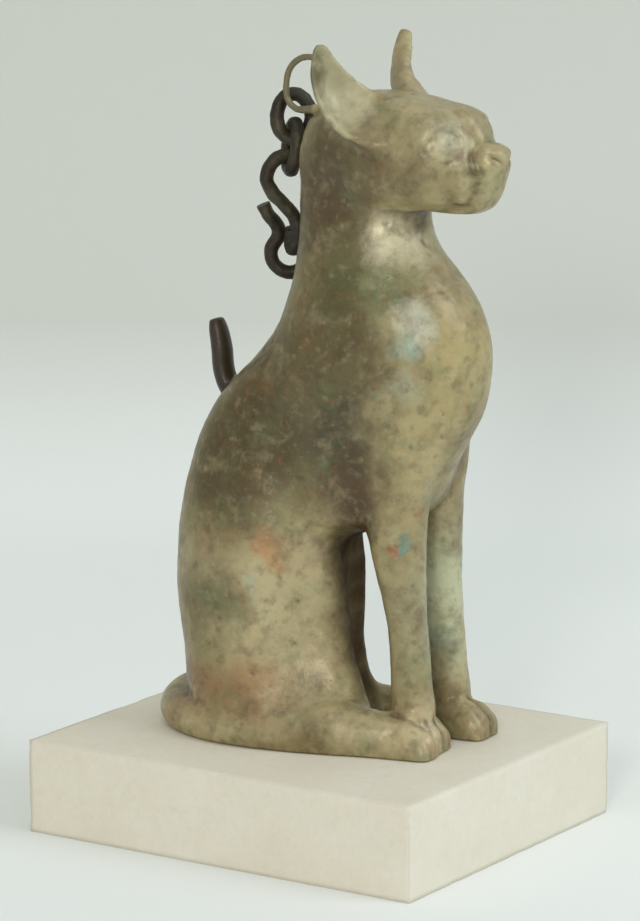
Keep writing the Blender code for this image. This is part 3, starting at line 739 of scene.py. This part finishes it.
def make_chain(finish):
    placed = (Matrix.Translation((CAT_LEFT_OF_CENTRE, 0, SEAT_HEIGHT / MM))
              @ Matrix.Rotation(CAT_TURN, 4, "Z"))
    hang = Matrix.Translation(placed @ CHAIN_HANG) @ Matrix.Rotation(-CHAIN_FACE, 4, "Z")
    width, length = (size - WIRE for size in RING_SIZE)
    tree = wire_tree()

    def facing(turn, across, up, back, lean=0.0):
        shift = Matrix.Translation((across * RING_SIZE[1], back * RING_SIZE[1], up))
        return (hang @ shift @ Matrix.Rotation(CHAIN_FACE - math.radians(turn), 4, "Z")
                @ Matrix.Rotation(math.pi / 2 - math.radians(lean), 4, "X"))

    ring = [Vector((math.cos(angle) * width / 2, math.sin(angle) * length / 2, 0))
            for angle in (2 * math.pi * step / 72 for step in range(72))]
    hook = [place for place, _ in smooth_path([(Vector(p) * HOOK_LENGTH, 0) for p in HOOK_SHAPE], 8)]
    curl = [place for place, _ in smooth_path([(Vector(p) * CURL_LENGTH, 0) for p in CURL_SHAPE], 8)]
    second_top = WIRE + (LINK_CLEARANCE + LINK_SLACK) - length
    hook_top = second_top - length + WIRE + LINK_CLEARANCE
    curl_top = hook_top - 0.97 * HOOK_LENGTH + WIRE + LINK_CLEARANCE
    for index, line, closed, place in (
            (1, ring, True, facing(48.6, -0.030, -length / 2, 0.144, 13.8)),
            (2, ring, True, facing(132.2, -0.055, second_top - length / 2, 0.050, 6.5)),
            (3, hook, False, facing(51.5, -0.100, hook_top, 0.032)),
            (4, curl, False, facing(54.3, -0.1075, curl_top, 0.421))):
        make_link(index, [(place @ point) * MM for point in line], closed, tree, finish)


# Materials

def srgb(red, green, blue):
    """A colour as the eye reads it on a screen, from 0 to 255, turned into light."""
    return tuple(((c / 255 + 0.055) / 1.055) ** 2.4 if c > 10 else c / 3294
                 for c in (red, green, blue)) + (1.0,)


def mask_group():
    """Mottling: a mask from noise of a given size, with its edge as soft as asked."""
    group = bpy.data.node_groups.new("mottle", "ShaderNodeTree")
    ask(group, (("Size", 10.0), ("Seed", 0.0), ("Cover", 0.5), ("Soft", 0.1), ("Detail", 4.0),
                ("Warp", 0.0)))
    group.interface.new_socket("Mask", in_out="OUTPUT", socket_type="NodeSocketFloat")
    nodes = group.nodes
    given, out = nodes.new("NodeGroupInput"), nodes.new("NodeGroupOutput")
    place = nodes.new("ShaderNodeTexCoord")
    scale = reckon(nodes, "DIVIDE")
    scale.inputs[0].default_value = 1000.0
    cloud = add(nodes, "ShaderNodeTexNoise", Roughness=0.6)
    cloud.noise_dimensions = "4D"
    low, high, flip = reckon(nodes, "SUBTRACT"), reckon(nodes, "ADD"), reckon(nodes, "SUBTRACT")
    flip.inputs[0].default_value = 1.0
    step = nodes.new("ShaderNodeMapRange")
    step.interpolation_type = "SMOOTHSTEP"
    join(group, (place, "Object", cloud, "Vector"), (given, "Size", scale, 1),
         (scale, 0, cloud, "Scale"), (given, "Seed", cloud, "W"), (given, "Detail", cloud, "Detail"),
         (given, "Warp", cloud, "Distortion"), (given, "Cover", flip, 1), (flip, 0, low, 0),
         (given, "Soft", low, 1), (flip, 0, high, 0), (given, "Soft", high, 1),
         (cloud, 0, step, "Value"), (low, 0, step, "From Min"), (high, 0, step, "From Max"),
         (step, 0, out, "Mask"))
    return group


MOTTLE = mask_group()


class Finish:
    """A material built up in layers over one Principled shader."""

    def __init__(self, name, ground, roughness, metallic=0.0):
        self.material = bpy.data.materials.new(name)
        self.material.use_nodes = True
        self.nodes = self.material.node_tree.nodes
        self.link = self.material.node_tree.links.new
        self.shader = self.nodes["Principled BSDF"]
        self.shader.inputs["Metallic"].default_value = metallic
        self.shader.inputs["Roughness"].default_value = roughness
        self.strayed = None
        self.ground = ground
        self.colour = None

    def mottle(self, size, cover, soft, seed, detail, warp=0.0):
        node = self.nodes.new("ShaderNodeGroup")
        node.node_tree = MOTTLE
        for name, value in (("Size", size), ("Cover", cover), ("Soft", soft), ("Seed", seed),
                            ("Detail", detail), ("Warp", warp)):
            node.inputs[name].default_value = value
        return node.outputs["Mask"]

    def attribute(self, name, low, high):
        """A mask from a value held by the mesh, nought at low and full at high."""
        read = self.nodes.new("ShaderNodeAttribute")
        read.attribute_name = name
        return self.ranged(read.outputs["Fac"], low, high)

    def ranged(self, value, low, high, start=0.0, end=1.0):
        node = add(self.nodes, "ShaderNodeMapRange", **{"From Min": low, "From Max": high,
                                                       "To Min": start, "To Max": end})
        self.link(value, node.inputs["Value"])
        return node.outputs[0]

    def reckoned(self, operation, *values):
        node = reckon(self.nodes, operation)
        for socket, value in zip(node.inputs, values):
            if isinstance(value, float):
                socket.default_value = value
            else:
                self.link(value, socket)
        return node.outputs[0]

    def times(self, first, second):
        return self.reckoned("MULTIPLY", first, second)

    def stray(self, size, reach):
        """Shift the places that patches are measured from, so that their borders run ragged."""
        here = self.nodes.new("ShaderNodeTexCoord")
        cloud = add(self.nodes, "ShaderNodeTexNoise", Scale=1 / size, Detail=5.0, Roughness=0.62)
        centred = reckon(self.nodes, "SUBTRACT", (0.5, 0.5, 0.5), "ShaderNodeVectorMath")
        shift = reckon(self.nodes, "MULTIPLY_ADD", (reach, reach, reach), "ShaderNodeVectorMath")
        self.link(here.outputs["Object"], cloud.inputs["Vector"])
        self.link(cloud.outputs["Color"], centred.inputs[0])
        self.link(centred.outputs[0], shift.inputs[0])
        self.link(here.outputs["Object"], shift.inputs[2])
        self.strayed = shift.outputs[0]

    def near(self, place, radius):
        """A ragged patch about a place given in metres."""
        far = reckon(self.nodes, "DISTANCE", place, "ShaderNodeVectorMath")
        self.link(self.strayed, far.inputs[0])
        return self.ranged(far.outputs["Value"], radius * 1.3, radius * 0.4)

    def over(self, tint, mask):
        """Lay a colour over what is there, where the mask lets it."""
        node = self.nodes.new("ShaderNodeMix")
        node.data_type = "RGBA"
        self.link(mask, node.inputs["Factor"])
        if self.colour:
            self.link(self.colour, node.inputs["A"])
        else:
            node.inputs["A"].default_value = self.ground
        node.inputs["B"].default_value = tint
        self.colour = node.outputs["Result"]

    def mottled(self, layers):
        """Mottles laid one over another, each a colour, a strength, and what its mask asks for."""
        for tint, strength, *mottle in layers:
            self.over(srgb(*tint), self.times(self.mottle(*mottle), strength))

    def worn(self, name, tint, low, high, strength):
        """A colour that follows a value held by the mesh."""
        self.over(srgb(*tint), self.times(self.attribute(name, low, high), strength))

    def patches(self, table):
        for *place, radius, tint, strength in table:
            self.over(srgb(*tint), self.times(self.near(world_place(*place), radius * MM), strength))

    def bump(self, height, strength, distance):
        node = add(self.nodes, "ShaderNodeBump", Strength=strength, Distance=distance)
        self.link(height, node.inputs["Height"])
        if self.shader.inputs["Normal"].links:
            self.link(self.shader.inputs["Normal"].links[0].from_socket, node.inputs["Normal"])
        self.link(node.outputs[0], self.shader.inputs["Normal"])

    def done(self):
        self.link(self.colour, self.shader.inputs["Base Color"])
        return self.material


def world_place(forward, left, up):
    """A place on the cat, in metres where the cat stands."""
    turned = Matrix.Rotation(CAT_TURN, 3, "Z") @ at(forward, left, up)
    return tuple(turned * MM + Vector((CAT_LEFT_OF_CENTRE * MM, 0, SEAT_HEIGHT)))


PATCHES = (
    # forward, left, up, radius, colour, strength
    (2.0, -11.0, 110.0, 13, (80, 66, 38), 0.88), (5.0, -11.0, 121.0, 13, (78, 63, 36), 0.92),
    (15.2, -13.5, 122.0, 7, (100, 84, 52), 0.75), (21.0, -14.3, 120.5, 6, (112, 96, 60), 0.6),
    (2.0, 11.0, 112.0, 14, (100, 86, 54), 0.7), (-6.0, -14.0, 84.0, 13, (86, 72, 40), 0.8),
    (-8.0, -16.0, 66.0, 18, (72, 60, 30), 0.92), (-16.0, -17.0, 56.0, 14, (78, 66, 34), 0.85),
    (-8.0, 16.0, 64.0, 18, (104, 90, 56), 0.7), (12.9, -15.6, 70.0, 12, (66, 60, 35), 0.94),
    (8.0, -15.5, 88.0, 12, (84, 74, 42), 0.88), (14.0, -13.2, 99.0, 10, (80, 80, 44), 0.85),
    # Painted shade: the second patch on the next line and the three on the two lines after darken the
    # belly in the recess behind the near foreleg
    (19.6, -13.1, 96.5, 5, (108, 120, 78), 0.6), (10.0, -14.0, 63.0, 8, (66, 60, 38), 0.7),
    (11.5, -13.5, 58.0, 7, (78, 60, 34), 0.85), (11.5, -12.5, 52.0, 6.5, (76, 56, 30), 0.9),
    (10.5, -10.5, 48.0, 6, (74, 54, 28), 0.9),
    (26.0, -11.7, 67.8, 11, (182, 168, 122), 0.7), (34.2, -5.7, 84.2, 12, (180, 164, 114), 0.7),
    # Painted highlight: the two pale cool patches on the next line, on the near shoulder
    (25.6, -12.2, 92.6, 4.4, (200, 206, 188), 0.5), (27.2, -11.6, 88.4, 3.2, (200, 206, 190), 0.45),
    (24.6, -13.3, 86.0, 3.4, (148, 176, 160), 0.6), (25.0, -13.4, 78.0, 3.4, (168, 176, 152), 0.5),
    # Pale throat patches on the next line, the near one partly a painted highlight
    (21.1, -6.9, 107.3, 7, (214, 206, 174), 0.9), (21.1, 6.9, 107.3, 6, (196, 188, 154), 0.6),
    (-4.8, -17.5, 30.9, 13, (184, 172, 132), 0.85), (-3.0, -16.2, 14.6, 11, (182, 168, 130), 0.8),
    (3.0, -15.6, 38.0, 11, (180, 166, 126), 0.8), (-4.0, 17.0, 28.0, 15, (168, 154, 114), 0.7),
    (-19.3, -19.3, 29.7, 9, (108, 98, 66), 0.7), (-15.0, -20.0, 30.0, 5.0, (104, 108, 72), 0.7),
    (-8.6, -19.2, 33.4, 2.6, (168, 182, 156), 0.6), (-19.5, -18.9, 38.2, 5, (150, 140, 106), 0.6),
    (-5.9, -17.6, 42.6, 3.6, (182, 110, 60), 0.5), (-2.4, -17.0, 39.0, 2.6, (180, 118, 62), 0.5),
    (-17.0, -19.0, 42.8, 5, (158, 132, 92), 0.45), (-8.0, -19.5, 12.0, 7, (164, 120, 78), 0.5),
    (-13.0, -20.0, 11.0, 6, (140, 98, 62), 0.45),
    (-22.0, -18.0, 11.0, 7, (132, 92, 60), 0.6), (-27.0, -12.0, 10.0, 7, (118, 90, 60), 0.6),
    (22.5, -11.9, 29.5, 9, (128, 116, 80), 0.6), (25.0, 5.0, 30.0, 15, (190, 194, 160), 0.85),
    (24.0, 5.0, 20.0, 3.4, (136, 156, 134), 0.6), (24.0, -12.0, 18.0, 4, (112, 112, 84), 0.45),
    (29.0, -10.3, 5.2, 6, (200, 184, 146), 0.8), (33.0, 7.6, 3.2, 4, (120, 96, 66), 0.7),
    (31.0, -13.2, 1.2, 1.8, (150, 92, 62), 0.5), (17.7, -17.9, 5.2, 8, (168, 156, 118), 0.5),
    (26.6, -9.2, 50.6, 1.6, (140, 64, 40), 0.7), (24.0, -12.2, 44.6, 2.3, (60, 148, 146), 0.95),
    (20.6, -12.9, 43.8, 1.5, (158, 84, 56), 0.7),
    (39.3, -7.3, 120.4, 4.6, (160, 158, 116), 0.7), (36.9, -7.9, 122.4, 1.9, (96, 76, 44), 0.85),
    (36.4, -7.5, 118.2, 1.7, (104, 84, 50), 0.8), (36.0, -7.9, 125.6, 1.5, (140, 100, 70), 0.7),
    # Painted highlight: the first patch on the next line, pale and cool on the near eye's bulge
    (32.5, -11.4, 129.2, 5.4, (204, 204, 176), 0.75), (28.0, -10.0, 134.0, 9, (172, 158, 118), 0.5),
    (9.0, -14.0, 137.0, 8, (190, 184, 148), 0.9), (10.0, -16.4, 143.0, 4, (190, 184, 148), 0.8),
    (8.6, 14.5, 137.0, 7, (186, 178, 142), 0.6), (15.0, 12.0, 136.0, 6, (150, 122, 88), 0.6),
    # Painted shade: the four dark patches on the next two lines, along the near ear's back rim and
    # behind it
    (3.6, -18.6, 138.0, 3.2, (98, 92, 64), 0.9), (5.4, -17.8, 144.0, 3.0, (98, 92, 64), 0.9),
    (6.4, -18.6, 131.6, 3.0, (98, 90, 62), 0.85), (-1.0, -14.0, 139.0, 7, (96, 90, 62), 0.9),
    (26.0, -14.6, 118.6, 5, (140, 126, 88), 0.5),
    # Painted shade: the dark brown patches on the next three lines, in the recess between the thighs and
    # the forelegs
    (8.0, -3.0, 18.0, 6.5, (66, 46, 24), 0.9), (8.0, -3.0, 27.0, 6.5, (66, 46, 24), 0.9),
    (8.0, -3.0, 36.0, 7, (66, 46, 24), 0.9), (8.0, -4.0, 44.0, 7.5, (66, 46, 24), 0.9),
    (8.0, 6.0, 18.0, 8, (84, 62, 36), 0.8), (8.0, 6.0, 32.0, 9, (84, 62, 36), 0.8),
    # Painted shadow under the chin, on the front of the neck
    (22.0, -2.0, 112.2, 4.6, (66, 50, 28), 0.8),
)


EAR_PATCHES = (
    (9.0, -14.0, 137.0, 7.5, (170, 164, 132), 0.65), (9.0, -16.0, 143.0, 6, (168, 162, 128), 0.75),
    # Painted shade: the dark patches from here on, along the near ear's back rim
    (5.0, -17.2, 141.3, 2.4, (92, 86, 58), 0.85), (5.2, -16.8, 145.4, 2.0, (92, 86, 58), 0.85),
    (5.4, -18.0, 137.5, 2.4, (92, 86, 58), 0.85), (7.2, -18.0, 134.0, 2.2, (92, 86, 58), 0.85),
    (9.8, -18.0, 131.2, 2.0, (96, 88, 60), 0.8),
)


def bronze_patina():
    coat = Finish("patinated_bronze", srgb(150, 136, 94), 0.5)
    coat.stray(0.009, 0.012)
    coat.over(srgb(118, 104, 66), coat.mottle(24, 0.48, 0.22, 3.1, 6.0, 0.4))
    coat.over(srgb(176, 163, 122), coat.mottle(17, 0.40, 0.18, 8.4, 6.0, 0.6))
    coat.worn("broad_relief", (196, 186, 146), 0.08, 0.8, 0.3)
    # Darker in the hollows: patina in the hollows, and painted shade in the contact creases under the
    # chin and between the legs
    coat.worn("broad_relief", (64, 50, 30), -0.12, -0.9, 0.6)
    coat.patches(PATCHES)
    coat.mottled((
        ((80, 65, 37), 0.5, 7, 0.42, 0.12, 5.5, 5.0, 0.3),
        ((184, 172, 132), 0.3, 6, 0.38, 0.12, 25.5, 5.0, 0.3),
        ((106, 120, 78), 0.42, 8, 0.39, 0.12, 12.0, 5.0, 0.3),
        ((150, 104, 62), 0.3, 9, 0.35, 0.10, 31.0, 5.0, 0.3)))
    coat.worn("fine_relief", (66, 50, 30), -0.02, -0.18, 0.6)
    coat.worn("fine_relief", (190, 180, 142), 0.02, 0.16, 0.22)
    coat.mottled((
        ((74, 60, 35), 0.42, 2.6, 0.41, 0.12, 1.0, 4.0),
        ((184, 176, 138), 0.26, 2.2, 0.37, 0.12, 4.0, 4.0),
        ((164, 98, 52), 0.36, 2.4, 0.34, 0.08, 9.0, 4.0),
        ((98, 134, 108), 0.34, 2.8, 0.32, 0.08, 14.0, 4.0)))
    coat.patches(EAR_PATCHES)
    # Painted shade in the recess between the thighs and the forelegs: dark brown colour there, with less
    # specular and more roughness
    shade = coat.attribute("shade", 0.0, 1.0)
    coat.over(srgb(60, 43, 24), coat.times(shade, 0.92))
    coat.link(coat.ranged(shade, 0.0, 1.0, 0.5, 0.06), coat.shader.inputs["Specular IOR Level"])
    coat.worn("loop", (104, 98, 72), 0.2, 0.8, 0.85)
    coat.over(srgb(52, 42, 28), coat.attribute("strap", 0.2, 0.8))
    rough = coat.ranged(coat.mottle(5, 0.5, 0.35, 6.0, 5.0), 0.0, 1.0, 0.25, 0.48)
    coat.link(coat.reckoned("ADD", rough, coat.times(shade, 0.6)), coat.shader.inputs["Roughness"])
    metal = coat.ranged(coat.mottle(16, 0.45, 0.2, 2.0, 4.0), 0.0, 1.0, 0.04, 0.22)
    coat.link(metal, coat.shader.inputs["Metallic"])
    coat.bump(coat.mottle(0.9, 0.5, 0.45, 20.0, 5.0), 0.3, 0.00012)
    coat.bump(coat.mottle(3.2, 0.5, 0.45, 23.0, 6.0), 0.35, 0.0003)
    return coat.done()


def chain_bronze():
    coat = Finish("dark_bronze_wire", srgb(54, 45, 28), 0.5, 0.2)
    coat.over(srgb(34, 28, 18), coat.mottle(7, 0.5, 0.2, 1.0, 5.0))
    coat.mottled((((100, 86, 56), 0.5, 4.0, 0.36, 0.14, 4.0, 5.0),
                  ((88, 60, 40), 0.5, 3.0, 0.32, 0.07, 8.0, 4.0),
                  ((92, 92, 62), 0.5, 9.0, 0.40, 0.10, 12.0, 4.0)))
    rough = coat.ranged(coat.mottle(3, 0.5, 0.3, 6.0, 4.0), 0.0, 1.0, 0.42, 0.66)
    coat.link(rough, coat.shader.inputs["Roughness"])
    coat.bump(coat.mottle(1.0, 0.5, 0.35, 20.0, 4.0), 0.4, 0.00014)
    return coat.done()


def pale_limestone():
    coat = Finish("pale_limestone", srgb(224, 218, 202), 0.62)
    coat.mottled((
        ((219, 210, 188), 0.55, 42, 0.45, 0.3, 2.0, 5.0),
        ((236, 233, 222), 0.5, 16, 0.42, 0.26, 7.0, 5.0),
        ((206, 194, 166), 0.22, 9, 0.36, 0.16, 11.0, 6.0, 1.0),
        ((198, 186, 160), 0.16, 1.2, 0.40, 0.16, 5.0, 4.0),
        ((238, 236, 226), 0.2, 1.5, 0.38, 0.16, 9.0, 4.0)))
    rough = coat.ranged(coat.mottle(5, 0.5, 0.3, 3.0, 4.0), 0.0, 1.0, 0.5, 0.72)
    coat.link(rough, coat.shader.inputs["Roughness"])
    coat.bump(coat.mottle(0.8, 0.5, 0.45, 17.0, 5.0), 0.12, 0.0001)
    return coat.done()


# The plinth

def stone_slab(finish):
    """The slab with eased and slightly worn arrises, and a honed surface that isn't quite flat."""
    low, high = PLINTH_LOW, PLINTH_HIGH
    counts = [max(8, int((high[k] - low[k]) / (SLAB_GRAIN * MM))) for k in range(3)]
    body = bmesh.new()
    grid = {}

    def knot(spot):
        if spot not in grid:
            place = [low[k] + (high[k] - low[k]) * spot[k] / counts[k] for k in range(3)]
            grid[spot] = body.verts.new(place)
        return grid[spot]

    for axis in range(3):
        one, two = (axis + 1) % 3, (axis + 2) % 3
        for end in (0, counts[axis]):
            for i in range(counts[one]):
                for j in range(counts[two]):
                    corners = []
                    for di, dj in ((0, 0), (1, 0), (1, 1), (0, 1)):
                        spot = [0, 0, 0]
                        spot[axis], spot[one], spot[two] = end, i + di, j + dj
                        corners.append(knot(tuple(spot)))
                    body.faces.new(corners if end else corners[::-1])
    sharp = [edge for edge in body.edges if edge.calc_face_angle(0) > 1]
    bmesh.ops.bevel(body, geom=sharp, offset=EASED_EDGE * MM, segments=4, profile=0.5, affect="EDGES")
    middle = (low + high) / 2
    half = (high - low) / 2
    for vertex in body.verts:
        place = vertex.co
        near = sorted(half[k] - abs(place[k] - middle[k]) for k in range(3))
        edge = max(0.0, 1 - near[1] / (WORN_WIDTH * MM))
        chip = (max(0.0, noise.noise(place * 260) - 0.12) * 0.9
                + max(0.0, noise.noise(place * 900) - 0.2) * 0.5)
        inward = (middle - place).normalized()
        vertex.co = place + inward * (edge * chip * WORN_DEPTH * MM)
    body.normal_update()
    mesh = set_down("stone_slab", body)
    mesh.shade_smooth()
    slab = shown("stone_slab", mesh)
    mesh.materials.append(finish)
    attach(slab, "root")
    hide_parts("plinth")


def make_camera():
    level = math.cos(VIEW_ELEVATION)
    back = Vector((math.sin(VIEW_AZIMUTH) * level, -math.cos(VIEW_AZIMUTH) * level,
                   math.sin(VIEW_ELEVATION)))
    lens = bpy.data.cameras.new("view")
    lens.sensor_width = FILM_WIDTH
    lens.lens = VIEW_LENS
    lens.clip_start = 0.01
    camera = shown("view", lens)
    camera.location = VIEW_FROM
    camera.rotation_euler = (-back).to_track_quat("-Z", "Y").to_euler()
    bpy.context.scene.camera = camera


def area_light(name, place, target, size, power, tint):
    lamp = bpy.data.lights.new(name, "AREA")
    lamp.shape = "DISK"
    lamp.size = size
    lamp.energy = power
    lamp.color = tint
    thing = shown(name, lamp)
    thing.location = place
    thing.rotation_euler = (Vector(target) - Vector(place)).to_track_quat("-Z", "Y").to_euler()


def make_studio():
    """A pale sweep under and behind the sculpture, three soft lights, and a fill all round."""
    body = bmesh.new()
    reach, rise, bow = 0.42, 1.7, 0.15
    profile = [(-2.2, 0.0), (reach - bow, 0.0)]
    for step in range(1, 17):
        angle = math.pi / 2 * step / 16
        profile.append((reach - bow + bow * math.sin(angle), bow - bow * math.cos(angle)))
    profile.append((reach, rise))
    away = Vector((-math.sin(VIEW_AZIMUTH), math.cos(VIEW_AZIMUTH), 0))
    side = Vector((away.y, -away.x, 0))
    rows = [[body.verts.new(away * depth + side * (x * 2.4) + Vector((0, 0, height)))
             for x in (-1, -0.5, 0, 0.5, 1)] for depth, height in profile]
    for lower, upper in zip(rows, rows[1:]):
        for index in range(4):
            body.faces.new((lower[index], lower[index + 1], upper[index + 1], upper[index]))
    bmesh.ops.recalc_face_normals(body, faces=body.faces)
    mesh = set_down("paper_sweep", body)
    mesh.shade_smooth()
    sweep = shown("paper_sweep", mesh)
    paper = Finish("pale_paper", srgb(240, 244, 243), 0.9)
    paper.over(srgb(235, 239, 237), paper.mottle(300, 0.5, 0.2, 1.0, 2.0))
    here = paper.nodes.new("ShaderNodeTexCoord")
    height = paper.nodes.new("ShaderNodeSeparateXYZ")
    paper.link(here.outputs["Object"], height.inputs[0])
    # Painted shade: the sweep's upright part is coloured darker than the floor, as it gets less light
    paper.over(srgb(206, 209, 202), paper.ranged(height.outputs["Z"], 0.0, 0.045))
    mesh.materials.append(paper.done())
    area_light("key", (0.25, -1.1, 0.95), (0, 0, 0.06), 0.95, 7.2, (0.87, 0.93, 1.0))
    area_light("window", (-1.15, -0.52, 0.52), (0, 0, 0.08), 0.24, 4.4, (1.0, 0.96, 0.88))
    area_light("above", (-0.3, 0.0, 1.1), (0, 0, 0.05), 0.9, 1.1, (1.0, 0.99, 0.97))
    world = bpy.data.worlds.new("studio")
    bpy.context.scene.world = world
    world.use_nodes = True
    world.node_tree.nodes["Background"].inputs[0].default_value = (0.98, 1.0, 0.975, 1)
    world.node_tree.nodes["Background"].inputs[1].default_value = 0.56


make_camera()
make_studio()
bpy.context.scene.view_settings.view_transform = "Standard"
stone_slab(pale_limestone())
cat = finish_cat()
cat.data.materials.append(bronze_patina())
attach(cat, "root")
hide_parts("cat")
make_chain(chain_bronze())
